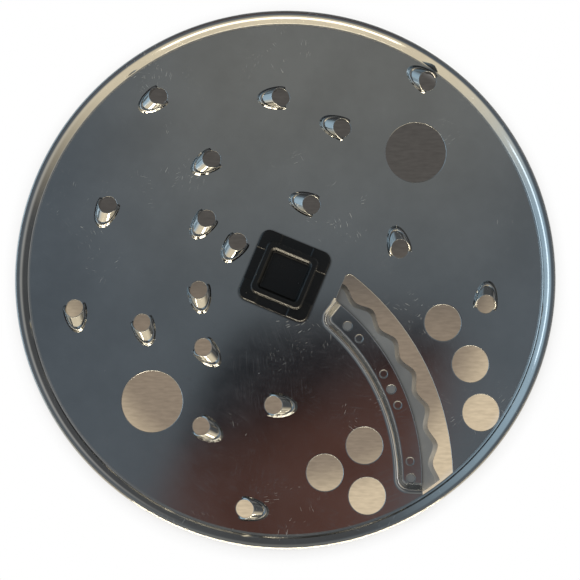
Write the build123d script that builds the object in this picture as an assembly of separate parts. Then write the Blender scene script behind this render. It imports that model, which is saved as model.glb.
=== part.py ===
from build123d import *
import math
import os

# Reversible disc of a kitchen shredder: a pressed steel disc that grates on its upper side,
# a scalloped blade under it that slices on the other side, and a moulded hub with a square
# drive socket in each face. The disc lies on the hub's lower face, grating side up.
# The origin is on the hub's axis at that face, and X and Y run along the hub's square sides.
# All sizes are in millimetres and all angles in degrees.

# Steel disc: sheet, bends and rim
DISC_DIAMETER = 145.0
SHEET = 0.7                 # thickness of the steel
BEND = 0.5                  # inside radius of a pressed bend, drawn as a flat between its tangents
LIP_WIDTH = 1.5             # flat lip round the outside
RIM_RUN = 1.8               # width of the slope between disc and lip
RIM_RISE = 2.0              # height of the lip over the disc

# Hub
DRIVE_SQUARE = 10.0         # side of the machine's square shaft
DRIVE_CLEARANCE = 0.2       # gap between shaft and socket on each side
SOCKET_DEPTH = 4.4
SOCKET_WEB = 1.7            # floor between the two sockets
SOCKET_CORNER = 0.6
MOUTH_CHAMFER = 0.7
RING_WALL = 1.4             # flat top of the ring round the socket's mouth
RING_CORNER = 1.8           # the ring runs on through the sheet as the hub's neck
FLANGE_SQUARE = 20.0
FLANGE_CORNER = 2.4
FLANGE_RISE = 2.4           # corner pads over the sheet
NOTCH_WIDTH = 8.9           # notch between two corner pads
NOTCH_DEPTH = 0.6
HUB_BREAK = 0.3             # moulded edges

# Grating teeth
TOOTH_HOLE = 4.75
TOOTH_LENGTH = 5.6          # from the hole's centre to the hood's tail, on the sheet
TOOTH_NOSE = 1.2            # from the hole's centre to the front of the hood's legs
TOOTH_LIP = 2.35            # height of the cutting lip over the sheet
TOOTH_LEG_SLOPE = 41.0      # rise of the legs' cut edges, from their front to the lip
TOOTH_TUCK = 0.08           # hollow of the hood inside the hole's wall, on each side
TOOTH_TAPER = 6.0           # half angle of the hood, narrower towards its tail
HUB_TRACK = 15.7            # radius of the lone tooth next to the hub
FIRST_TRACK = 20.6          # radius of the first of the evenly stepped teeth
LAST_TRACK_GAP = 0.3        # between the outermost hood and the rim's bend
HUB_TRACK_ANGLE = 166.3
TRACK_ANGLES = (92.0, 211.7, 166.0, 243.8, 35.9, 287.6, 144.4, 220.7, 91.4,
                263.6, 113.8, 180.5, 14.5, 211.3, 147.5, 282.9, 76.4)

# Finger holes and vents
FINGER_HOLE = 16.4
FINGER_RADIUS = 48.9
FINGER_ANGLES = (66.0, 246.0)
VENT = 9.8
VENT_RIM_GAP = 0.45         # between the outermost vent and the rim's slope
OUTER_VENT_ROW = 9.6        # row of vents outside the slot, from the slot's edge
OUTER_VENT_BOW = 1.4        # middle vent of that row, further out than its neighbours
OUTER_VENT_STEP = 9.5       # angle between vents of that row
INNER_VENT_ROW = 22.6       # pair of vents inside the slot, from the slot's edge
INNER_VENT_RIM_GAP = 1.7
INNER_VENT_STEP = 16.5      # angle between the pair
INNER_VENT_DROP = 11.4      # third vent, nearer to the arc's centre than the pair

# Slot and pressed shelf: arcs about one centre beside the disc's axis
ARC_X = -1.7
ARC_Y = -59.4
SLOT_RADIUS = 69.1          # outer edge of the slot
SLOT_WIDTH = 7.9            # from there to the shelf's free edge
SLOT_HUB_GAP = 5.1          # between the hub's flange and the slot's end
SLOT_RIM_GAP = 0.05         # between the slot and the rim's bend
SLOT_CORNER = 1.4
SHELF_WIDTH = 5.3           # floor of the shelf
SHELF_DROP = 3.2            # depth of the shelf under the sheet
SHELF_RUN = 1.8             # width of the slope round the shelf
SHELF_CORNER = 1.2          # corner of the floor inside its bends
SHELF_RIM_GAP = 0.1         # between the bends of shelf and rim
LAP = 0.1                   # overlap by which the pressed wall is drawn into the sheet

# Blade
BLADE_THICKNESS = 0.8
BLADE_REACH = 4.1           # from the shelf's free edge to the middle of the scallops
SCALLOP_PITCH = 10.05
SCALLOP_DEPTH = 1.8
FIRST_TROUGH = 4.0          # angle from the slot's hub end
SPARE_SCALLOPS = 2          # drawn past each end of the blade and cut off
BEVEL = 1.4
BLADE_TUCK = 0.8            # blade beyond the slot's hub end
BLADE_RIM_GAP = 0.5         # between the blade's end and the slot's rim end
BLADE_HEEL = 0.4            # blade's back edge, behind the shelf's floor
BLADE_CORNER = 1.0
STUD = 2.3                  # studs of the blade that locate it in the shelf
STUD_CLEARANCE = 0.05
STUD_DROP = 0.1             # studs under the shelf's upper face
STUD_INSET = 3.0            # row of studs and welds, from the shelf's free edge
STUD_HUB_GAP = 6.9          # along the row, from the shelf's hub end to the first stud
STUD_RIM_GAP = 3.2          # from the last stud to the shelf's rim end
STUD_SHIFT = 1.9            # middle stud, from halfway towards the hub
WELD = 2.1                  # spot welds pressed into the shelf, next to the studs
WELD_DEPTH = 0.12
WELD_STEP = 4.6             # along the row, from a stud to the weld beside it

# Places that follow from the sizes above
DISC_RADIUS = DISC_DIAMETER / 2
FLAT_RADIUS = DISC_RADIUS - LIP_WIDTH - RIM_RUN
RIM_BEND = BEND * math.tan(math.atan2(RIM_RISE, RIM_RUN) / 2)   # reach of the rim's bend into the disc
TOOTH_WALL = SHEET / math.cos(math.radians(TOOTH_TAPER))        # sheet across the axis of a hood
TOOTH_RADIUS = TOOTH_HOLE / 2 - TOOTH_TUCK + TOOTH_WALL         # outside of a hood, over its hole
HUB_HEIGHT = 2 * SOCKET_DEPTH + SOCKET_WEB
SHEET_TOP = (HUB_HEIGHT + SHEET) / 2
SOCKET_SQUARE = DRIVE_SQUARE + 2 * DRIVE_CLEARANCE
RING_SQUARE = SOCKET_SQUARE + 2 * (MOUTH_CHAMFER + RING_WALL)
SLOT_HUB_X = FLANGE_SQUARE / 2 + SLOT_HUB_GAP
SHELF_RADIUS = SLOT_RADIUS - SLOT_WIDTH
FLOOR_RADIUS = SHELF_RADIUS - SHELF_WIDTH
SHELF_TOP = SHEET_TOP - SHELF_DROP
SHELF_HALF_SLOPE = math.atan2(SHELF_DROP, SHELF_RUN) / 2
UPPER_BEND = (BEND + SHEET) * math.tan(SHELF_HALF_SLOPE)   # reach of the shelf's bend into the sheet
LOWER_BEND = BEND * math.tan(SHELF_HALF_SLOPE)             # reach of its other bend into the floor
BLADE_TOP = SHELF_TOP - SHEET
BLADE_BOTTOM = BLADE_TOP - BLADE_THICKNESS
BLADE_EDGE = SHELF_RADIUS + BLADE_REACH
STUD_RADIUS = SHELF_RADIUS - STUD_INSET
ARC_CENTRE = Pos(ARC_X, ARC_Y)
UP = Vector(0, 0, 1)
LONG = 2 * DISC_DIAMETER    # longer than anything that is cut with it


def on_arc(radius, angle):
    """Point at a radius and angle about the arcs' centre."""
    turn = math.radians(angle)
    return Vector(ARC_X + radius * math.cos(turn), ARC_Y + radius * math.sin(turn))


def rim_angle(radius, reach):
    """Angle on an arc about the arcs' centre where it is at a distance from the disc's axis."""
    offset_from_axis = math.hypot(ARC_X, ARC_Y)
    bearing = math.degrees(math.atan2(ARC_Y, ARC_X))
    cosine = (reach**2 - radius**2 - offset_from_axis**2) / (2 * radius * offset_from_axis)
    return bearing + math.degrees(math.acos(cosine))


def hub_angle(radius, x):
    """Angle on an arc about the arcs' centre where it crosses a line along Y."""
    return math.degrees(math.acos((x - ARC_X) / radius))


def shelf_start():
    """Angle of the shelf's hub end, where its free edge meets the slot's end."""
    return hub_angle(SHELF_RADIUS, SLOT_HUB_X)


def shelf_end():
    """Angle of the shelf's rim end, its bend just inside the bend of the rim."""
    bend_end = rim_angle(SHELF_RADIUS, FLAT_RADIUS - RIM_BEND - SHELF_RIM_GAP)
    return bend_end + math.degrees(UPPER_BEND / SHELF_RADIUS)


def step_section(before, run, rise, after):
    """Section of the sheet with a sloped step between two flats, its upper face at zero."""
    half_slope = math.tan(math.atan2(abs(rise), run) / 2)
    lean = math.copysign(SHEET * half_slope, rise)
    length = before + run + after
    low_bend = Vector(before + lean, -SHEET)
    high_bend = Vector(before, 0)
    low_end = Vector(before + run + lean, rise - SHEET)
    high_end = Vector(before + run, rise)
    outline = Polyline((0, 0), high_bend, high_end, (length, rise), (length, rise - SHEET),
                       low_end, low_bend, (0, -SHEET), close=True)
    section = make_face(outline)
    tight, wide = (high_bend, low_end), (low_bend, high_end)
    if rise < 0:
        tight, wide = wide, tight
    for corners, radius in ((tight, BEND), (wide, BEND + SHEET)):
        for corner in corners:
            section = chamfer(section.vertices().sort_by_distance(corner)[0], radius * half_slope)
    return section


def rounded_square(side, corner):
    return RectangleRounded(side, side, corner)


def pressed_disc():
    """Flat disc with its raised rim."""
    section = step_section(FLAT_RADIUS, RIM_RUN, RIM_RISE, LIP_WIDTH)
    return Pos(0, 0, SHEET_TOP) * revolve(Plane.XZ * section, Axis.Z)


def slot_face():
    """Plan of the slot between the shelf's free edge, the hub end and the rim."""
    ring = ARC_CENTRE * (Circle(SLOT_RADIUS) - Circle(SHELF_RADIUS))
    beyond_hub = Pos(SLOT_HUB_X, 0) * Rectangle(LONG, LONG, align=(Align.MIN, Align.CENTER))
    plan = ring & beyond_hub & Circle(FLAT_RADIUS - RIM_BEND - SLOT_RIM_GAP)
    hub_corner = on_arc(SLOT_RADIUS, hub_angle(SLOT_RADIUS, SLOT_HUB_X))
    return fillet(plan.vertices().sort_by_distance(hub_corner)[0], SLOT_CORNER)


def shelf_face(inset):
    """Plan of the pressed shelf at the sheet's level, pared down by an inset on its closed sides."""
    corner = SHELF_RUN + LOWER_BEND + LAP + SHELF_CORNER
    ring = Circle(SHELF_RADIUS + LAP) - Circle(FLOOR_RADIUS - SHELF_RUN + inset)
    rim_side = Rectangle(LONG, LONG, align=(Align.CENTER, Align.MAX))
    hub_side = Rectangle(LONG, LONG, align=(Align.CENTER, Align.MIN))
    plan = ring & Rot(0, 0, shelf_start()) * Pos(0, -inset) * rim_side
    plan &= Rot(0, 0, shelf_end()) * Pos(0, inset) * hub_side
    back_corners = plan.vertices().sort_by_distance((0, 0))[:2]
    return ARC_CENTRE * fillet(back_corners, corner - inset)


def shelf_wall():
    """Sloped wall of the shelf with its two bends, along the closed sides of its plan."""
    plan = shelf_face(0)
    path = Wire(plan.edges().sort_by_distance((ARC_X, ARC_Y))[:-1])
    inward = UP.cross(path % 0)
    if inward.dot(plan.center() - path @ 0) < 0:
        inward = -inward
    before = UPPER_BEND + LAP
    section = step_section(before, SHELF_RUN, -SHELF_DROP, LOWER_BEND + LAP)
    plane = Plane(path @ 0 - inward * before, x_dir=inward, z_dir=inward.cross(UP))
    return Pos(0, 0, SHEET_TOP) * sweep(plane * section, path)


def tooth_form(radius):
    """Round tapered form of a tooth with a radius over its hole, its ridge sloped down to the tail."""
    taper = math.radians(TOOTH_TAPER)
    ridge = math.atan2(TOOTH_LIP, TOOTH_LENGTH - TOOTH_HOLE / 2)
    slope = ridge - taper
    over_hole = Vector(0, 0, TOOTH_LENGTH * math.tan(ridge))
    centre = over_hole - Vector(math.sin(slope), 0, math.cos(slope)) * TOOTH_RADIUS
    along = Vector(-math.cos(slope), 0, math.sin(slope))
    return Plane(centre, z_dir=along) * Cone(0, 2 * radius, 2 * radius / math.tan(taper))


def tooth_hood():
    """Hood of a tooth, from the middle of the sheet up, its legs sloped down to their front."""
    legs = Plane((-TOOTH_NOSE, 0)).rotated((0, -TOOTH_LEG_SLOPE, 0))
    above = Pos(0, 0, -SHEET / 2) * Box(LONG, LONG, LONG, align=(Align.CENTER, Align.CENTER, Align.MIN))
    return split(tooth_form(TOOTH_RADIUS) & above, bisect_by=legs, keep=Keep.BOTTOM)


def tooth_hollow():
    """Cutter for the hollow under a hood, behind the middle of its hole."""
    behind = Box(LONG, LONG, LONG, align=(Align.MIN, Align.CENTER, Align.CENTER))
    return tooth_form(TOOTH_RADIUS - TOOTH_WALL) & behind


def tooth_places():
    """Place of each tooth, its hole's centre on the sheet and its tail turned anticlockwise."""
    last_track = FLAT_RADIUS - RIM_BEND - LAST_TRACK_GAP - TOOTH_RADIUS
    step = (last_track - FIRST_TRACK) / (len(TRACK_ANGLES) - 1)
    tracks = [(HUB_TRACK, HUB_TRACK_ANGLE)]
    tracks += [(FIRST_TRACK + i * step, angle) for i, angle in enumerate(TRACK_ANGLES)]
    return [Rot(0, 0, angle) * Pos(radius, 0, SHEET_TOP) * Rot(0, 0, 90) for radius, angle in tracks]


def vent_places():
    """Place of each vent, on arcs beside the slot."""
    vent_reach = FLAT_RADIUS - VENT_RIM_GAP - VENT / 2
    outer = SLOT_RADIUS + OUTER_VENT_ROW
    first = rim_angle(outer, vent_reach)
    bow = (0, OUTER_VENT_BOW, 0)
    places = [on_arc(outer + out, first + i * OUTER_VENT_STEP) for i, out in enumerate(bow)]
    pair_reach = FLAT_RADIUS - INNER_VENT_RIM_GAP - VENT / 2
    inner = SLOT_RADIUS - INNER_VENT_ROW
    pair = rim_angle(inner, pair_reach)
    places += [on_arc(inner, pair), on_arc(inner, pair + INNER_VENT_STEP)]
    places += [on_arc(inner - INNER_VENT_DROP, pair + INNER_VENT_STEP / 2)]
    return [Pos(place) for place in places]


def row_angle(length):
    """Angle of a length along the row of studs."""
    return math.degrees(length / STUD_RADIUS)


def stud_angles():
    first = shelf_start() - row_angle(STUD_HUB_GAP)
    last = shelf_end() + row_angle(STUD_RIM_GAP)
    return first, (first + last) / 2 + row_angle(STUD_SHIFT), last


def weld_angles():
    """A weld on the inner side of each end stud and on both sides of the middle one."""
    first, middle, last = stud_angles()
    step = row_angle(WELD_STEP)
    return first - step, middle + step, middle - step, last + step


def row_places(angles):
    """Places in the row of studs and welds along the shelf."""
    return [Pos(on_arc(STUD_RADIUS, angle)) for angle in angles]


def punched(diameter, places):
    """Cutters for round holes through the whole height."""
    return [place * Cylinder(diameter / 2, LONG) for place in places]


def weld_mark():
    """Cutter for the shallow round mark of a spot weld in the shelf's upper face."""
    return Pos(0, 0, SHELF_TOP) * Cylinder(WELD / 2, 2 * WELD_DEPTH)


def disc_plate():
    plate = pressed_disc()

    # Shelf: the sheet inside its plan is pressed down, joined by the sloped wall
    floor = extrude(shelf_face(SHELF_RUN + LOWER_BEND + LAP / 2), -SHEET)
    plate -= extrude(shelf_face(-UPPER_BEND - LAP / 2), LONG, both=True)
    plate += shelf_wall() + Pos(0, 0, SHELF_TOP) * floor

    # Teeth: hoods raised from the sheet, hollow below, each behind its round hole
    teeth = tooth_places()
    hood = tooth_hood()
    hollow = tooth_hollow()
    plate += [place * hood for place in teeth]
    plate -= [place * hollow for place in teeth]
    plate -= punched(TOOTH_HOLE, teeth)

    # Slot beside the shelf, the hub's square hole, and the blade's seats and welds
    plate -= extrude(slot_face(), LONG, both=True)
    plate -= extrude(rounded_square(RING_SQUARE, RING_CORNER), LONG, both=True)
    plate -= punched(STUD + 2 * STUD_CLEARANCE, row_places(stud_angles()))
    plate -= [place * weld_mark() for place in row_places(weld_angles())]

    # Finger holes and vents
    fingers = [Rot(0, 0, angle) * Pos(FINGER_RADIUS, 0) for angle in FINGER_ANGLES]
    plate -= punched(FINGER_HOLE, fingers)
    plate -= punched(VENT, vent_places())
    return plate


def scalloped_face(shift):
    """Plan of the blade, longer than needed at both ends, its edge moved in by a shift."""
    half_pitch = math.degrees(SCALLOP_PITCH / 2 / BLADE_EDGE)
    first = shelf_start() - FIRST_TROUGH + 2 * SPARE_SCALLOPS * half_pitch
    last = rim_angle(BLADE_EDGE, DISC_RADIUS)
    points = []
    for i in range(math.ceil((first - last) / half_pitch) + 2 * SPARE_SCALLOPS):
        swing = SCALLOP_DEPTH / 2 if i % 2 else -SCALLOP_DEPTH / 2
        points.append(on_arc(BLADE_EDGE + swing - shift, first - i * half_pitch))
    edge = Spline(points)
    back = FLOOR_RADIUS - BLADE_HEEL
    angles = (first, first - (len(points) - 1) / 2 * half_pitch, first - (len(points) - 1) * half_pitch)
    rear = ThreePointArc(*[on_arc(back, angle) for angle in angles])
    return make_face([edge, rear, Line(edge @ 0, rear @ 0), Line(edge @ 1, rear @ 1)])


def slicing_blade():
    """Scalloped blade under the shelf, ground from above, with studs that locate it."""
    sharp = Pos(0, 0, BLADE_BOTTOM) * scalloped_face(0)
    ground = Pos(0, 0, BLADE_TOP) * scalloped_face(BEVEL)
    beyond_hub = Rectangle(LONG, LONG, align=(Align.MIN, Align.CENTER))
    within = (Pos(SLOT_HUB_X - BLADE_TUCK, 0) * beyond_hub) & Circle(FLAT_RADIUS - BLADE_RIM_GAP)
    blade = loft([sharp, ground], ruled=True) & extrude(within, LONG, both=True)
    blade = fillet(blade.edges().filter_by(Axis.Z), BLADE_CORNER)
    stud = Cylinder(STUD / 2, SHEET - STUD_DROP, align=(Align.CENTER, Align.CENTER, Align.MIN))
    return blade + [place * Pos(0, 0, BLADE_TOP) * stud for place in row_places(stud_angles())]


def hub_half():
    """Upper half of the hub, above the middle of the sheet."""
    flange = extrude(rounded_square(FLANGE_SQUARE, FLANGE_CORNER), FLANGE_RISE + SHEET / 2)
    flange = chamfer(flange.faces().sort_by(Axis.Z)[-1].edges(), HUB_BREAK)
    notch_floor = FLANGE_RISE + SHEET / 2 - NOTCH_DEPTH
    notch = Pos(0, 0, notch_floor) * extrude(Rectangle(NOTCH_WIDTH, LONG), LONG)
    flange -= [notch, Rot(0, 0, 90) * notch]
    ring = extrude(rounded_square(RING_SQUARE, RING_CORNER), HUB_HEIGHT / 2)
    ring = chamfer(ring.faces().sort_by(Axis.Z)[-1].edges(), HUB_BREAK)
    sheet = Box(LONG, LONG, SHEET) - extrude(rounded_square(RING_SQUARE, RING_CORNER), LONG, both=True)
    socket = extrude(rounded_square(SOCKET_SQUARE, SOCKET_CORNER), SOCKET_DEPTH)
    half = flange + ring - sheet - Pos(0, 0, SOCKET_WEB / 2) * socket
    mouth = half.faces().sort_by(Axis.Z)[-1].inner_wires()[0].edges()
    return chamfer(mouth, MOUTH_CHAMFER)


def drive_hub():
    upper = hub_half()
    return Pos(0, 0, HUB_HEIGHT / 2) * (upper + mirror(upper, Plane.XY))


os.makedirs("parts", exist_ok=True)
export_step(disc_plate(), "parts/disc_plate.step")
export_step(slicing_blade(), "parts/slicing_blade.step")
export_step(drive_hub(), "parts/drive_hub.step")
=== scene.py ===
import math

import bmesh
import bpy
from mathutils import Matrix, Vector


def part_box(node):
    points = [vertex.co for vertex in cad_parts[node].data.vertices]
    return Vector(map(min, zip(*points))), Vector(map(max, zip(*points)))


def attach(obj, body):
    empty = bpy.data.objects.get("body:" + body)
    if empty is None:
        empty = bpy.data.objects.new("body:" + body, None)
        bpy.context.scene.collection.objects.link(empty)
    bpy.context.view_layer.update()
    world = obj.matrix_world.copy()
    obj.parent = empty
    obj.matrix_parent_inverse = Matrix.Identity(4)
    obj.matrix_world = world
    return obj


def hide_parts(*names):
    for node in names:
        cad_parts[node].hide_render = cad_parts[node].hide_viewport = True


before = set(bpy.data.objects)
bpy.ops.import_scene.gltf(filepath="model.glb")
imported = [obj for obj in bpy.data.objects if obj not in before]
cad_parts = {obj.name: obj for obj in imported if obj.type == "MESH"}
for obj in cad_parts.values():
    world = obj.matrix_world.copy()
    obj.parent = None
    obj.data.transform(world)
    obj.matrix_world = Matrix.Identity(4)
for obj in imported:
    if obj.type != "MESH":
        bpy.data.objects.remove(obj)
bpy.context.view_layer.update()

MM = 0.001
UP = Vector((0, 0, 1))
SHEET = 0.7 * MM
HUB_LOW, HUB_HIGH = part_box("drive_hub")
PLATE_LOW, PLATE_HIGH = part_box("disc_plate")
SHEET_TOP = (HUB_LOW.z + HUB_HIGH.z + SHEET) / 2
CENTRE = Vector((0, 0, SHEET_TOP))          # where the hub's axis meets the sheet's upper face
DISC_RADIUS = min(PLATE_HIGH.x, PLATE_HIGH.y, -PLATE_LOW.x, -PLATE_LOW.y)

# Rim, as in the solid but with round bends
RIM_RISE = 2.0 * MM
FOOT_RADIUS = PLATE_HIGH.x - 3.52 * MM      # where the flat disc ends
RIM_ARCS = (                                # radius and turn of each bend, from the foot outwards
    (0.6 * MM, math.radians(50)),
    (9.0 * MM, math.radians(-12)),
    (2.26 * MM, math.radians(-38)),
)
TUCK = 0.03 * MM                            # how far the rim's inner end reaches into the flat disc
LIP_EDGE = 0.3 * MM                         # rounding of the lip's cut edge
RIM_SEGMENTS = 360
BEND_STEPS = 10

# Fillets at the feet of the hoods
ROOT = 0.5 * MM                             # width at a hood's steep sides
ROOT_STEPS = 8
ROOT_BLEND = 2                              # foot edges on each side of a point that share in its normal
ROOT_FADE = 2 * ROOT                        # length over which a fillet runs out at its ends
LEAST_RISE = 0.5                            # a flank that rises less widens the fillet no further
TOOTH_SPAN = 15 * MM                        # longer than the foot line of any hood is wide

# Meshes
WELD = 0.001 * MM                           # corners of facets this close are one
TOLERANCE = 0.01 * MM
FLAT_BEND = math.radians(0.1)               # facets that bend less than this are joined
SOFT_BEND = math.radians(32)                # edges flatter than this are shaded round
LEVEL_Z = 0.9999                            # least upright part of a level face's normal
LEVEL_FIRST = 16384                         # strength that lets level faces set the shading at their edges
FULL_WEIGHT = 100                           # large faces alone set the shading where faces meet

# Camera, as fitted to the photo
PHOTO_SIZE = 580                            # pixels
FOCAL_PIXELS = 1330.5
HUB_PIXEL = (284.7, 276.3)                  # where the centre shows
VIEW_DISTANCE = 358.4 * MM                  # from the eye to the centre, along the view
TILT_X = 0.0137                             # radians by which the view leans from straight down
TILT_Y = -0.0773
ROLL = math.radians(22.5)
PHOTO_TURN = Matrix.Rotation(ROLL, 3, "Z")
PHOTO_RIGHT = PHOTO_TURN @ Vector((1, 0, 0))
PHOTO_UP = PHOTO_TURN @ Vector((0, 1, 0))
SENSOR = 36.0                               # millimetres, as the camera states it
CLIP_START = 10 * MM

# Lamps
LAMP_DISTANCE = 0.60
KEY_COLOR = (1.0, 0.90, 0.70)
KEY_RADIANCE = 3.0
KEY_SIZE = (0.60, 0.07)
KEY_ELEVATION = 30.0                        # degrees
STRIP_RADIANCE = 16.0                       # long low strip on the key's side, for the edges
STRIP_SIZE = (0.90, 0.05)
STRIP_ELEVATION = 3.2
FILL_COLOR = (0.74, 0.88, 1.0)
FILL_RADIANCE = 1.6
FILL_SIZE = (0.50, 0.06)
FILL_ELEVATION = 24.0

# Room overhead, measured as right over height and up over height in the photo's axes.
# A pair without a note is where a change of colour begins and ends.
CEILING_COLOR = (0.150, 0.176, 0.200)
CEILING_TOP_COLOR = (0.235, 0.240, 0.232)
CEILING_TOP = (0.02, 0.26)
CEILING_SIDE_COLOR = (0.130, 0.156, 0.184)
CEILING_SIDES = (0.08, 0.24)
CEILING_MIDDLE = 0.02
DARK_COLOR = (0.014, 0.015, 0.018)
DARK_CENTRE = (0.012, -0.055)               # right and up
DARK_REACH = (0.092, 0.115)                 # right and up, from the centre to the outline
DARK_LEAN = 0.35                            # how far the dark area shifts to the right for each step up
DARK_SQUARENESS = 4.0                       # power of its rounded outline
DARK_BORDER = (0.45, 1.6)                   # fades out here, where 1 is the outline
BROWN_COLOR = (0.150, 0.072, 0.057)
BROWN_SLANT = 0.4
BROWN_BORDER = (-0.022, 0.006)
STREAK_SCALE = (7, 34, 1)

# Room around. A pair is where a change of colour begins and ends: by how nearly the level direction
# points to the window or wall, or for a rise by the height of the direction.
CEILING_RISE = (0.60, 0.92)
WALL_COLOR = (0.10, 0.105, 0.11)
WARM_WINDOW_COLOR = (1.08, 0.94, 0.69)
WARM_WINDOW = (0.1, 0.85)
COOL_WINDOW_COLOR = (0.48, 0.66, 0.80)
COOL_WINDOW = (0.25, 0.95)
PALE_WALL_COLOR = (0.44, 0.44, 0.43)
PALE_WALL = (0.2, 0.8)
PALE_WALL_RISE = (0.32, 0.50)

# Floor, with a painted shadow beside the disc and painted shade below it
FLOOR_REACH = 3.0
FLOOR_COLOR = (0.72, 0.69, 0.64)
FLOOR_ROUGHNESS = 0.8
FIBRE_SCALE = (350, 1500, 1)
SHADOW_COLOR = (0.35, 0.33, 0.30)
SHADOW_REACH = 10 * MM
UNDER_SHADE_COLOR = (0.265, 0.212, 0.160)  # painted shade below the disc
# painted light below the disc, brighter towards its edge
UNDER_EDGE_LIGHT_COLOR = (0.63, 0.515, 0.36)
UNDER_EDGE_LIGHT = (50 * MM, 64 * MM)
UNDER_FAR_SHADE_COLOR = (0.084, 0.078, 0.072)     # painted deeper shade on the side away from the key
UNDER_FAR_SHADE = (-22 * MM, 14 * MM)
# where the painted shade below the disc gives way to the floor's white
UNDER_SHADE_END = (DISC_RADIUS - 5 * MM, DISC_RADIUS + 2 * MM)

# Marks on the steel and the hub, with lengths in millimetres. Scratches: size of the patches that
# share a direction, length, width, share of patches. Dust: spacing, size, share of dots.
SCRATCHES = ((17.0, 9.0, 0.09, 0.6), (9.0, 5.0, 0.07, 0.45), (5.0, 2.2, 0.06, 0.45))
SCRATCH_COLOR = (0.82, 0.82, 0.80)
SCRATCH_TINT = 0.10
SCRATCH_HAZE = 0.12                         # roughness that a mark adds
SCRATCH_DEPTH = -0.4
SCUFFS = (4.0, 2.4, 0.20, 0.45)
SCUFF_COLOR = (0.90, 0.90, 0.88)
SCUFF_COVER = 0.8                           # share of the metal's look that a scuff takes away
DUST = (3.2, 0.16, 0.16)
DUST_COLOR = (0.86, 0.86, 0.84)
DUST_TINT = 0.75
DUST_HAZE = 0.5
SMEAR_TONE = 0.86
GRAIN_HAZE = 0.03
GRAIN_HEIGHT = 0.25
CORNER_SHADE_REACH = 1.0 * MM                            # reach of the painted shade in inner corners
CORNER_SHADE_COLOR = (0.20, 0.19, 0.18)
HUB_SCRATCHES = (3.0, 1.6, 0.06, 0.5)
HUB_SCRATCH_COLOR = (0.09, 0.09, 0.088)
HUB_SCRATCH_TINT = 0.25
HUB_DUST = (1.3, 0.10, 0.25)
HUB_DUST_COLOR = (0.45, 0.44, 0.42)
HUB_DUST_TINT = 0.6
HUB_DUST_HAZE = 0.4

# Finishes
SHADER_SAMPLES = 8
NOISE_LOW = 0.3                             # most values of a noise lie between these
NOISE_HIGH = 0.7
PLATE_TONE = (0.60, 0.60, 0.59)
PLATE_ROUGHNESS = 0.05
PLATE_HAZE = 0.05
PLATE_EDGE = 0.35 * MM                      # rounding of edges in the shading
BLADE_TONE = (0.66, 0.65, 0.63)
BLADE_ROUGHNESS = 0.36
BLADE_HAZE = 0.08
BLADE_EDGE = 0.08 * MM
STEEL_RELIEF = (0.02, 0.02 * MM)            # strength and depth of the bump
HUB_DARK_TONE = (0.003, 0.003, 0.003)
HUB_PALE_TONE = (0.008, 0.0078, 0.0075)
HUB_ROUGHNESS = (0.12, 0.26)
HUB_EDGE = 0.42 * MM
HUB_RELIEF = (0.08, 0.03 * MM)
HUB_IOR = 1.6


def add(tree, kind, inputs=None, **settings):
    """New shader node with its settings and the values or links of its inputs."""
    node = tree.nodes.new(kind)
    for name, value in settings.items():
        setattr(node, name, value)
    for name, value in (inputs or {}).items():
        if isinstance(value, bpy.types.NodeSocket):
            tree.links.new(value, node.inputs[name])
        else:
            node.inputs[name].default_value = value
    return node


def math_node(tree, operation, first, second=0.0, clamp=False):
    inputs = {0: first, 1: second}
    return add(tree, "ShaderNodeMath", inputs, operation=operation, use_clamp=clamp).outputs[0]


def times(tree, first, second):
    return math_node(tree, "MULTIPLY", first, second)


def ramp(tree, factor, *stops):
    """Colour ramp with stops of position and grey level or colour."""
    node = add(tree, "ShaderNodeValToRGB", {"Fac": factor})
    elements = node.color_ramp.elements
    while len(elements) < len(stops):
        elements.new(0.5)
    for element, (position, color) in zip(elements, stops):
        element.position = position
        if not isinstance(color, tuple):
            color = (color,) * 3
        element.color = (*color, 1.0)
    return node.outputs["Color"]


def mix_color(tree, factor, first, second, blend_type="MIX"):
    """Blend of two colours or links. A Mix node's sockets share names, so identifiers tell them apart."""
    node = add(tree, "ShaderNodeMix", data_type="RGBA", blend_type=blend_type)
    sockets = {socket.identifier: socket for socket in node.inputs}
    for identifier, value in (("Factor_Float", factor), ("A_Color", first), ("B_Color", second)):
        if isinstance(value, bpy.types.NodeSocket):
            tree.links.new(value, sockets[identifier])
        elif isinstance(value, tuple):
            sockets[identifier].default_value = (*value, 1.0)
        else:
            sockets[identifier].default_value = value
    return next(socket for socket in node.outputs if socket.identifier == "Result_Color")


def multiply_color(tree, first, second):
    return mix_color(tree, 1.0, first, second, "MULTIPLY")


def smooth_step(tree, value, low, high):
    """Smooth rise from 0 at the low value to 1 at the high one."""
    inputs = {"Value": value, "From Min": low, "From Max": high}
    return add(tree, "ShaderNodeMapRange", inputs, interpolation_type="SMOOTHSTEP").outputs[0]


def spread(tree, value, low, high):
    """Noise, which stays near one half, stretched to run from low to high."""
    inputs = {"Value": value, "From Min": NOISE_LOW, "From Max": NOISE_HIGH, "To Min": low, "To Max": high}
    return add(tree, "ShaderNodeMapRange", inputs).outputs[0]


def mapped(tree, vector, **changes):
    """Vector scaled or turned."""
    return add(tree, "ShaderNodeMapping", {"Vector": vector, **changes}).outputs[0]


def noise(tree, place, scale, detail=2.0, roughness=0.5):
    inputs = {"Vector": place, "Scale": scale, "Detail": detail, "Roughness": roughness}
    return add(tree, "ShaderNodeTexNoise", inputs).outputs["Fac"]


def ambient(tree, distance):
    """How open a point is to its surroundings, from 0 in a deep corner to 1."""
    inputs = {"Distance": distance}
    return add(tree, "ShaderNodeAmbientOcclusion", inputs, samples=SHADER_SAMPLES).outputs["AO"]


def cells(tree, place, size):
    """Distance to the middle of the nearest of many scattered cells, and random numbers of that cell."""
    inputs = {"Vector": place, "Scale": 1 / size, "Randomness": 1.0}
    voronoi = add(tree, "ShaderNodeTexVoronoi", inputs)
    chance = add(tree, "ShaderNodeSeparateColor", {0: voronoi.outputs["Color"]})
    return voronoi.outputs["Distance"], chance.outputs


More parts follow.
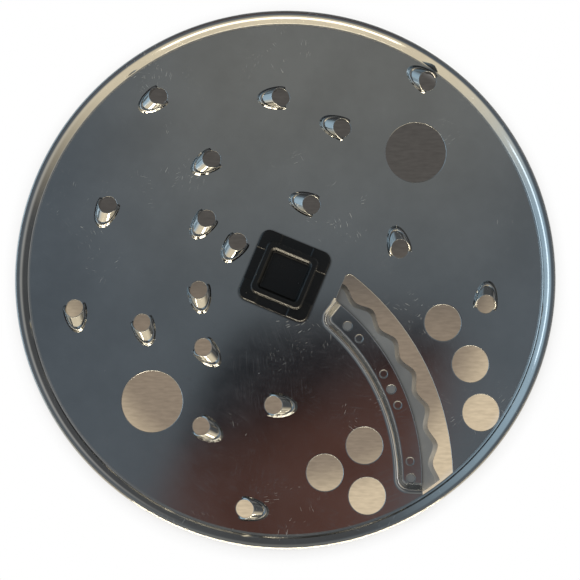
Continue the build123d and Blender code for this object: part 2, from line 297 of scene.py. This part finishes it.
def scratches(tree, place, patch, length, width, share):
    """Hairline scratches, one where there is a scratch, with a direction of their own in each patch."""
    _, chance = cells(tree, place, patch)
    angle = times(tree, chance[0], math.pi)
    inputs = {"Vector": place, "Angle": angle}
    turned = add(tree, "ShaderNodeVectorRotate", inputs, rotation_type="Z_AXIS").outputs[0]
    stretched = mapped(tree, turned, Scale=(1 / length, 1 / width, 0))
    streak = noise(tree, stretched, scale=1.0, detail=0.0)
    lines = ramp(tree, streak, (0.72, 0.0), (0.78, 1.0))
    kept = math_node(tree, "LESS_THAN", chance[1], share)
    return times(tree, lines, kept)


def specks(tree, place, spacing, size, share):
    """Small round dots of uneven size, one on a dot."""
    distance, chance = cells(tree, place, spacing)
    kept = math_node(tree, "LESS_THAN", chance[0], share)
    reach = times(tree, chance[1], size / spacing)
    dot = math_node(tree, "LESS_THAN", distance, reach)
    return times(tree, kept, dot)


def relief(tree, height, strength, depth, edge):
    """Shading normal with rounded edges and a fine bump."""
    edges = add(tree, "ShaderNodeBevel", {"Radius": edge}, samples=SHADER_SAMPLES).outputs[0]
    inputs = {"Height": height, "Strength": strength, "Distance": depth, "Normal": edges}
    return add(tree, "ShaderNodeBump", inputs).outputs[0]


def new_material(name):
    """Material with its node tree, its shader and the place on the part in millimetres."""
    material = bpy.data.materials.new(name)
    material.use_nodes = True
    tree = material.node_tree
    shader = tree.nodes["Principled BSDF"]
    place = add(tree, "ShaderNodeTexCoord").outputs["Object"]
    inputs = {0: place, 1: (1 / MM,) * 3}
    millimetres = add(tree, "ShaderNodeVectorMath", inputs, operation="MULTIPLY").outputs[0]
    return material, tree, shader, millimetres


def steel_marks(tree, place):
    """Scratches, dust, and scuffs in worn patches."""
    lines = scratches(tree, place, *SCRATCHES[0])
    for layer in SCRATCHES[1:]:
        lines = math_node(tree, "MAXIMUM", lines, scratches(tree, place, *layer))
    dust = specks(tree, place, *DUST)
    worn = ramp(tree, noise(tree, place, scale=0.045), (0.54, 0.0), (0.66, 0.75))
    scuffs = times(tree, scratches(tree, place, *SCUFFS), worn)
    return lines, dust, scuffs


def steel_color(tree, tone, smear, lines, dust, scuffs):
    """Smeared steel with its marks, and painted shade in inner corners."""
    clean = ramp(tree, smear, (0.35, 0.0), (0.65, 1.0))
    color = mix_color(tree, clean, tuple(part * SMEAR_TONE for part in tone), tone)
    color = mix_color(tree, times(tree, lines, SCRATCH_TINT), color, SCRATCH_COLOR)
    color = mix_color(tree, times(tree, dust, DUST_TINT), color, DUST_COLOR)
    # Painted shade: the steel's colour darkens in inner corners and creases, by ambient occlusion.
    corner_shade = ramp(tree, ambient(tree, CORNER_SHADE_REACH), (0.45, CORNER_SHADE_COLOR), (0.85, 1.0))
    color = multiply_color(tree, color, corner_shade)
    return mix_color(tree, scuffs, color, SCUFF_COLOR)


def steel(name, tone, roughness, haze, edge):
    """Stainless steel with marks, smears and painted shade in inner corners, rougher by the haze where
    smeared, its edges shaded round.
    """
    material, tree, shader, place = new_material(name)
    lines, dust, scuffs = steel_marks(tree, place)
    smear = noise(tree, place, scale=0.05, detail=4.0, roughness=0.6)
    grain = noise(tree, place, scale=0.9, detail=3.0, roughness=0.6)
    rough = spread(tree, smear, roughness, roughness + haze)
    rough = math_node(tree, "ADD", rough, times(tree, lines, SCRATCH_HAZE))
    rough = math_node(tree, "ADD", rough, times(tree, grain, GRAIN_HAZE))
    rough = math_node(tree, "ADD", rough, times(tree, dust, DUST_HAZE), clamp=True)
    height = math_node(tree, "ADD", times(tree, lines, SCRATCH_DEPTH), times(tree, grain, GRAIN_HEIGHT))
    metallic = math_node(tree, "SUBTRACT", 1.0, times(tree, scuffs, SCUFF_COVER))
    color = steel_color(tree, tone, smear, lines, dust, scuffs)
    tree.links.new(color, shader.inputs["Base Color"])
    tree.links.new(metallic, shader.inputs["Metallic"])
    tree.links.new(rough, shader.inputs["Roughness"])
    tree.links.new(relief(tree, height, *STEEL_RELIEF, edge), shader.inputs["Normal"])
    return material


def black_plastic():
    """Glossy black moulding with handling marks and dust."""
    material, tree, shader, place = new_material("hub_plastic")
    mottle = noise(tree, place, scale=0.4, detail=4.0, roughness=0.6)
    grain = noise(tree, place, scale=6.0)
    lines = scratches(tree, place, *HUB_SCRATCHES)
    dust = specks(tree, place, *HUB_DUST)
    color = mix_color(tree, mottle, HUB_DARK_TONE, HUB_PALE_TONE)
    color = mix_color(tree, times(tree, lines, HUB_SCRATCH_TINT), color, HUB_SCRATCH_COLOR)
    color = mix_color(tree, times(tree, dust, HUB_DUST_TINT), color, HUB_DUST_COLOR)
    rough = spread(tree, mottle, *HUB_ROUGHNESS)
    rough = math_node(tree, "ADD", rough, times(tree, dust, HUB_DUST_HAZE), clamp=True)
    shader.inputs["IOR"].default_value = HUB_IOR
    tree.links.new(color, shader.inputs["Base Color"])
    tree.links.new(rough, shader.inputs["Roughness"])
    tree.links.new(relief(tree, grain, *HUB_RELIEF, HUB_EDGE), shader.inputs["Normal"])
    return material


def level(face):
    return abs(face.normal.z) > LEVEL_Z


def welded(node):
    """Mesh of a CAD node whose facets share their corners."""
    shape = bmesh.new()
    shape.from_mesh(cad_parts[node].data)
    bmesh.ops.remove_doubles(shape, verts=shape.verts, dist=WELD)
    return shape


def mark_sharp(shape, ground=False):
    """Marks all edges but the soft bends sharp. A ground shape is also sharp wherever a level face ends."""
    for edge in shape.edges:
        ends_level = ground and len({level(face) for face in edge.link_faces}) > 1
        edge.smooth = edge.calc_face_angle(0) < SOFT_BEND and not ends_level


def joined(node, ground=False):
    """Mesh of a CAD node with its facets joined and its edges marked."""
    shape = welded(node)
    bmesh.ops.dissolve_limit(shape, angle_limit=FLAT_BEND, verts=shape.verts, edges=shape.edges)
    mark_sharp(shape, ground)
    return shape


def new_piece(shape, name, material):
    """Object that rides on the disc, with a finish."""
    for face in shape.faces:
        face.smooth = True
        face.material_index = 0
    mesh = bpy.data.meshes.new(name)
    shape.to_mesh(mesh)
    shape.free()
    if "custom_normal" in mesh.attributes:
        mesh.attributes.remove(mesh.attributes["custom_normal"])
    mesh.materials.clear()
    mesh.materials.append(material)
    piece = bpy.data.objects.new(name, mesh)
    bpy.context.collection.objects.link(piece)
    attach(piece, "root")
    return piece


def dress(node, material, shape):
    """Replaces a CAD node by a copy that is shaded round over its soft bends and flat elsewhere."""
    strength = shape.faces.layers.int.new("__mod_weightednormals_faceweight")
    for face in shape.faces:
        face[strength] = LEVEL_FIRST if level(face) else 0
    piece = new_piece(shape, f"dressed_{node}", material)
    weighted = piece.modifiers.new("flat_faces_first", "WEIGHTED_NORMAL")
    weighted.weight = FULL_WEIGHT
    weighted.use_face_influence = True
    weighted.keep_sharp = True
    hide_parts(node)


def rim_section():
    """Outline of the rim as radius and height over the sheet, along its upper face, lip and lower face."""
    upper = [Vector((FOOT_RADIUS - TUCK, -TUCK))]
    lower = [Vector((FOOT_RADIUS - TUCK, TUCK - SHEET))]
    spot = Vector((FOOT_RADIUS, 0))
    heading = 0
    for radius, turn in RIM_ARCS:
        bow = math.copysign(radius, turn)
        centre = spot + bow * Vector((-math.sin(heading), math.cos(heading)))
        for step in range(BEND_STEPS):
            now = heading + turn * (step + 1) / BEND_STEPS
            normal = Vector((-math.sin(now), math.cos(now)))
            spot = centre - bow * normal
            upper.append(spot)
            lower.append(spot - SHEET * normal)
        heading += turn
    for step in range(2 * BEND_STEPS + 1):
        turn = math.pi / 2 * step / BEND_STEPS
        middle = RIM_RISE - LIP_EDGE if step < BEND_STEPS else RIM_RISE - SHEET + LIP_EDGE
        radius = DISC_RADIUS - LIP_EDGE * (1 - math.sin(turn))
        upper.append(Vector((radius, middle + LIP_EDGE * math.cos(turn))))
    return upper + lower[::-1]


def plate_with_rim():
    """Copy of the plate whose rim is turned anew, with round bends."""
    shape = joined("disc_plate")
    inner = FOOT_RADIUS - TOLERANCE
    rim = [face for face in shape.faces if all(vert.co.xy.length > inner for vert in face.verts)]
    bmesh.ops.delete(shape, geom=rim, context="FACES")
    bmesh.ops.bridge_loops(shape, edges=[edge for edge in shape.edges if edge.is_boundary])
    turns = [2 * math.pi * step / RIM_SEGMENTS for step in range(RIM_SEGMENTS)]
    rings = []
    for radius, height in rim_section():
        points = [(radius * math.cos(turn), radius * math.sin(turn), SHEET_TOP + height) for turn in turns]
        rings.append([shape.verts.new(point) for point in points])
    for ring, outer in zip(rings, rings[1:] + rings[:1]):
        for step in range(RIM_SEGMENTS):
            shape.faces.new((ring[step - 1], outer[step - 1], outer[step], ring[step]))
    bmesh.ops.recalc_face_normals(shape, faces=shape.faces)
    return shape


def foot_edges(shape):
    """Edges where hoods rise from the sheet's upper face, each with the hood's face beside it."""
    beside = {}
    for edge in shape.edges:
        on_sheet = all(abs(vert.co.z - SHEET_TOP) < TOLERANCE for vert in edge.verts)
        if not on_sheet or len(edge.link_faces) != 2:
            continue
        hood, sheet = sorted(edge.link_faces, key=lambda face: face.normal.z)
        if level(sheet) and not level(hood) and hood.calc_center_median().z > SHEET_TOP:
            beside[edge] = hood
    return beside


def foot_lines(shape):
    """Foot edges of each hood from end to end, as its points and the hood's normals between them."""
    beside = foot_edges(shape)
    ends = {}
    for edge in beside:
        for vert in edge.verts:
            ends.setdefault(vert, []).append(edge)
    lines = []
    for start in [vert for vert, edges in ends.items() if len(edges) == 1]:
        points = [start.co]
        normals = []
        vert = start
        edge = ends[start][0]
        while edge in beside:
            normals.append(beside.pop(edge).normal)
            vert = edge.other_vert(vert)
            points.append(vert.co)
            edge = next((other for other in ends[vert] if other in beside), None)
        if normals and max((point - start.co).length for point in points) < TOOTH_SPAN:
            lines.append((points, normals))
    return lines


def add_root(roots, points, normals):
    """Adds the hollow fillet of one hood, wider where the hood slopes gently into the sheet."""
    travelled = [0.0]
    for first, second in zip(points, points[1:]):
        travelled.append(travelled[-1] + (second - first).length)
    steps = [step / ROOT_STEPS for step in range(ROOT_STEPS + 1)]
    rows = []
    for i, point in enumerate(points):
        near = normals[max(0, i - ROOT_BLEND):i + ROOT_BLEND]
        normal = sum(near, Vector()).normalized()
        outward = Vector((normal.x, normal.y, 0)).normalized()
        flank = (UP - normal * normal.z).normalized()
        fade = min(travelled[i], travelled[-1] - travelled[i]) / ROOT_FADE
        width = ROOT / max(flank.z, LEAST_RISE) * min(1.0, fade)
        hollow = [point + width * (outward * (1 - t)**2 + flank * t**2) for t in steps]
        rows.append([roots.verts.new(corner) for corner in [point, *hollow]])
    for row, following in zip(rows, rows[1:]):
        for corner in range(len(row)):
            roots.faces.new((row[corner - 1], row[corner], following[corner], following[corner - 1]))


def tooth_roots(material):
    """Piece with the fillets at the feet of all hoods."""
    plate = welded("disc_plate")
    roots = bmesh.new()
    for points, normals in foot_lines(plate):
        add_root(roots, points, normals)
    plate.free()
    bmesh.ops.remove_doubles(roots, verts=roots.verts, dist=WELD)
    bmesh.ops.recalc_face_normals(roots, faces=roots.faces)
    mark_sharp(roots)
    new_piece(roots, "tooth_roots", material)


def make_camera():
    """Camera at the photo's place, which looks almost straight down."""
    back = Vector((math.sin(TILT_X), math.sin(TILT_Y), 0))
    back.z = math.sqrt(1 - back.length_squared)
    right = (Vector((1, 0, 0)) - back.x * back).normalized()
    up = back.cross(right)
    across = (HUB_PIXEL[0] - PHOTO_SIZE / 2) / FOCAL_PIXELS * VIEW_DISTANCE
    above = (PHOTO_SIZE / 2 - HUB_PIXEL[1]) / FOCAL_PIXELS * VIEW_DISTANCE
    eye = CENTRE - across * right - above * up + VIEW_DISTANCE * back
    data = bpy.data.cameras.new("photo_camera")
    data.sensor_width = SENSOR
    data.lens = SENSOR * FOCAL_PIXELS / PHOTO_SIZE
    data.clip_start = CLIP_START
    camera = bpy.data.objects.new("photo_camera", data)
    axes = Matrix((right, up, back)).transposed().to_4x4()
    camera.matrix_world = Matrix.Rotation(ROLL, 4, "Z") @ Matrix.Translation(eye) @ axes
    bpy.context.collection.objects.link(camera)
    bpy.context.scene.camera = camera


def make_lamp(name, towards, elevation, size, color, radiance):
    """Rectangular soft light that faces the disc from one side."""
    data = bpy.data.lights.new(name, "AREA")
    data.shape = "RECTANGLE"
    data.size, data.size_y = size
    data.color = color
    data.energy = radiance * math.pi * size[0] * size[1]
    lamp = bpy.data.objects.new(name, data)
    rise = math.radians(elevation)
    away = towards * math.cos(rise) + UP * math.sin(rise)
    lamp.location = CENTRE + LAMP_DISTANCE * away
    lamp.rotation_euler = away.to_track_quat("Z", "Y").to_euler()
    bpy.context.collection.objects.link(lamp)


def dark_area(tree, direction, across, along):
    """Colour of the dark area overhead, streaky brown lower down, and a factor that is 1 outside it."""
    lean = math_node(tree, "ADD", times(tree, along, DARK_LEAN), DARK_CENTRE[0])
    wide = math_node(tree, "DIVIDE", math_node(tree, "SUBTRACT", across, lean), DARK_REACH[0])
    deep = math_node(tree, "DIVIDE", math_node(tree, "SUBTRACT", along, DARK_CENTRE[1]), DARK_REACH[1])
    sizes = [math_node(tree, "ABSOLUTE", part) for part in (wide, deep)]
    powers = [math_node(tree, "POWER", size, DARK_SQUARENESS) for size in sizes]
    outside = smooth_step(tree, math_node(tree, "ADD", *powers), *DARK_BORDER)
    streaks = noise(tree, mapped(tree, direction, Scale=STREAK_SCALE), scale=1.0)
    brown = multiply_color(tree, BROWN_COLOR, ramp(tree, streaks, (0.35, 0.45), (0.65, 1.15)))
    slant = math_node(tree, "SUBTRACT", along, times(tree, across, BROWN_SLANT))
    return mix_color(tree, smooth_step(tree, slant, *BROWN_BORDER), brown, DARK_COLOR), outside


def ceiling(tree, direction, right, up, height):
    """Overhead, which the flat steel mirrors: cool at the sides, warmer at the photo's top, partly dark."""
    across = math_node(tree, "DIVIDE", right, height)
    along = math_node(tree, "DIVIDE", up, height)
    color = mix_color(tree, smooth_step(tree, along, *CEILING_TOP), CEILING_COLOR, CEILING_TOP_COLOR)
    aside = math_node(tree, "ABSOLUTE", math_node(tree, "SUBTRACT", across, CEILING_MIDDLE))
    color = mix_color(tree, smooth_step(tree, aside, *CEILING_SIDES), color, CEILING_SIDE_COLOR)
    dark, outside = dark_area(tree, direction, across, along)
    return mix_color(tree, outside, dark, color)


def walls(tree, right, up, height):
    """Dim walls with a warm window below the photo, a cool one left of it and a pale wall right of it."""
    flat = math_node(tree, "SQRT", math_node(tree, "SUBTRACT", 1.0, times(tree, height, height)))
    reverse = times(tree, flat, -1.0)
    down = math_node(tree, "DIVIDE", up, reverse)
    left = math_node(tree, "DIVIDE", right, reverse)
    pale = smooth_step(tree, times(tree, left, -1.0), *PALE_WALL)
    pale = times(tree, pale, smooth_step(tree, height, *PALE_WALL_RISE))
    color = mix_color(tree, smooth_step(tree, left, *COOL_WINDOW), WALL_COLOR, COOL_WINDOW_COLOR)
    color = mix_color(tree, pale, color, PALE_WALL_COLOR)
    return mix_color(tree, smooth_step(tree, down, *WARM_WINDOW), color, WARM_WINDOW_COLOR)


def make_world():
    """Dim room that lights the disc and that its steel mirrors."""
    world = bpy.data.worlds.new("room")
    world.use_nodes = True
    tree = world.node_tree
    direction = mapped(tree, add(tree, "ShaderNodeTexCoord").outputs["Generated"], Rotation=(0, 0, -ROLL))
    right, up, height = add(tree, "ShaderNodeSeparateXYZ", {0: direction}).outputs
    overhead = ceiling(tree, direction, right, up, height)
    around = walls(tree, right, up, height)
    color = mix_color(tree, smooth_step(tree, height, *CEILING_RISE), around, overhead)
    tree.links.new(color, tree.nodes["Background"].inputs["Color"])
    bpy.context.scene.world = world


def floor_color(tree):
    """White with a painted soft shadow beside the disc, and below it painted warm shade with fibres,
    painted lighter towards the disc's edge and on the key's side.
    """
    place = add(tree, "ShaderNodeTexCoord").outputs["Object"]
    open_sky = ambient(tree, SHADOW_REACH)
    away = add(tree, "ShaderNodeVectorMath", {0: place}, operation="LENGTH").outputs["Value"]
    inputs = {0: place, 1: PHOTO_UP}
    along = add(tree, "ShaderNodeVectorMath", inputs, operation="DOT_PRODUCT").outputs["Value"]
    fibres = mapped(tree, mapped(tree, place, Rotation=(0, 0, -ROLL)), Scale=FIBRE_SCALE)
    grain = ramp(tree, noise(tree, fibres, scale=1.0), (0.3, 0.88), (0.7, 1.08))
    # Painted light and shade below the disc: lighter towards its edge, darker away from the key and where
    # enclosed.
    lit = mix_color(tree, smooth_step(tree, away, *UNDER_EDGE_LIGHT), UNDER_SHADE_COLOR, UNDER_EDGE_LIGHT_COLOR)
    under_shade = mix_color(tree, smooth_step(tree, along, *UNDER_FAR_SHADE), lit, UNDER_FAR_SHADE_COLOR)
    under_shade = multiply_color(tree, under_shade, grain)
    under_shade = multiply_color(tree, under_shade, ramp(tree, open_sky, (0.0, 0.80), (0.35, 1.0)))
    # Painted shadow beside the disc, from ambient occlusion.
    beside = ramp(tree, open_sky, (0.15, SHADOW_COLOR), (0.85, 1.0))
    return mix_color(tree, smooth_step(tree, away, *UNDER_SHADE_END), under_shade, beside)


def floor_material():
    """Pale floor that shows its colour, painted shadow and shade included, to the camera and to mirroring
    surfaces.
    """
    material = bpy.data.materials.new("floor")
    material.use_nodes = True
    tree = material.node_tree
    shader = tree.nodes["Principled BSDF"]
    shader.inputs["Base Color"].default_value = (*FLOOR_COLOR, 1)
    shader.inputs["Roughness"].default_value = FLOOR_ROUGHNESS
    glow = add(tree, "ShaderNodeEmission", {"Color": floor_color(tree)})
    rays = add(tree, "ShaderNodeLightPath")
    seen = math_node(tree, "MAXIMUM", rays.outputs["Is Camera Ray"], rays.outputs["Is Glossy Ray"])
    seen = math_node(tree, "MAXIMUM", seen, rays.outputs["Is Transmission Ray"])
    blend = add(tree, "ShaderNodeMixShader", {0: seen, 1: shader.outputs[0], 2: glow.outputs[0]})
    tree.links.new(blend.outputs[0], tree.nodes["Material Output"].inputs["Surface"])
    return material


def make_floor():
    """Level square on which the disc lies, and no part of it."""
    mesh = bpy.data.meshes.new("floor")
    corners = [(-FLOOR_REACH, -FLOOR_REACH, 0), (FLOOR_REACH, -FLOOR_REACH, 0),
               (FLOOR_REACH, FLOOR_REACH, 0), (-FLOOR_REACH, FLOOR_REACH, 0)]
    mesh.from_pydata(corners, [], [(0, 1, 2, 3)])
    floor = bpy.data.objects.new("floor", mesh)
    bpy.context.collection.objects.link(floor)
    mesh.materials.append(floor_material())


make_camera()
make_world()
make_lamp("key", -PHOTO_UP, KEY_ELEVATION, KEY_SIZE, KEY_COLOR, KEY_RADIANCE)
make_lamp("strip", -PHOTO_UP, STRIP_ELEVATION, STRIP_SIZE, KEY_COLOR, STRIP_RADIANCE)
make_lamp("fill", -PHOTO_RIGHT, FILL_ELEVATION, FILL_SIZE, FILL_COLOR, FILL_RADIANCE)
make_floor()
polished = steel("polished_steel", PLATE_TONE, PLATE_ROUGHNESS, PLATE_HAZE, PLATE_EDGE)
dress("disc_plate", polished, plate_with_rim())
tooth_roots(polished)
ground = steel("blade_steel", BLADE_TONE, BLADE_ROUGHNESS, BLADE_HAZE, BLADE_EDGE)
dress("slicing_blade", ground, joined("slicing_blade", ground=True))
dress("drive_hub", black_plastic(), joined("drive_hub"))
bpy.context.scene.view_settings.view_transform = "Standard"
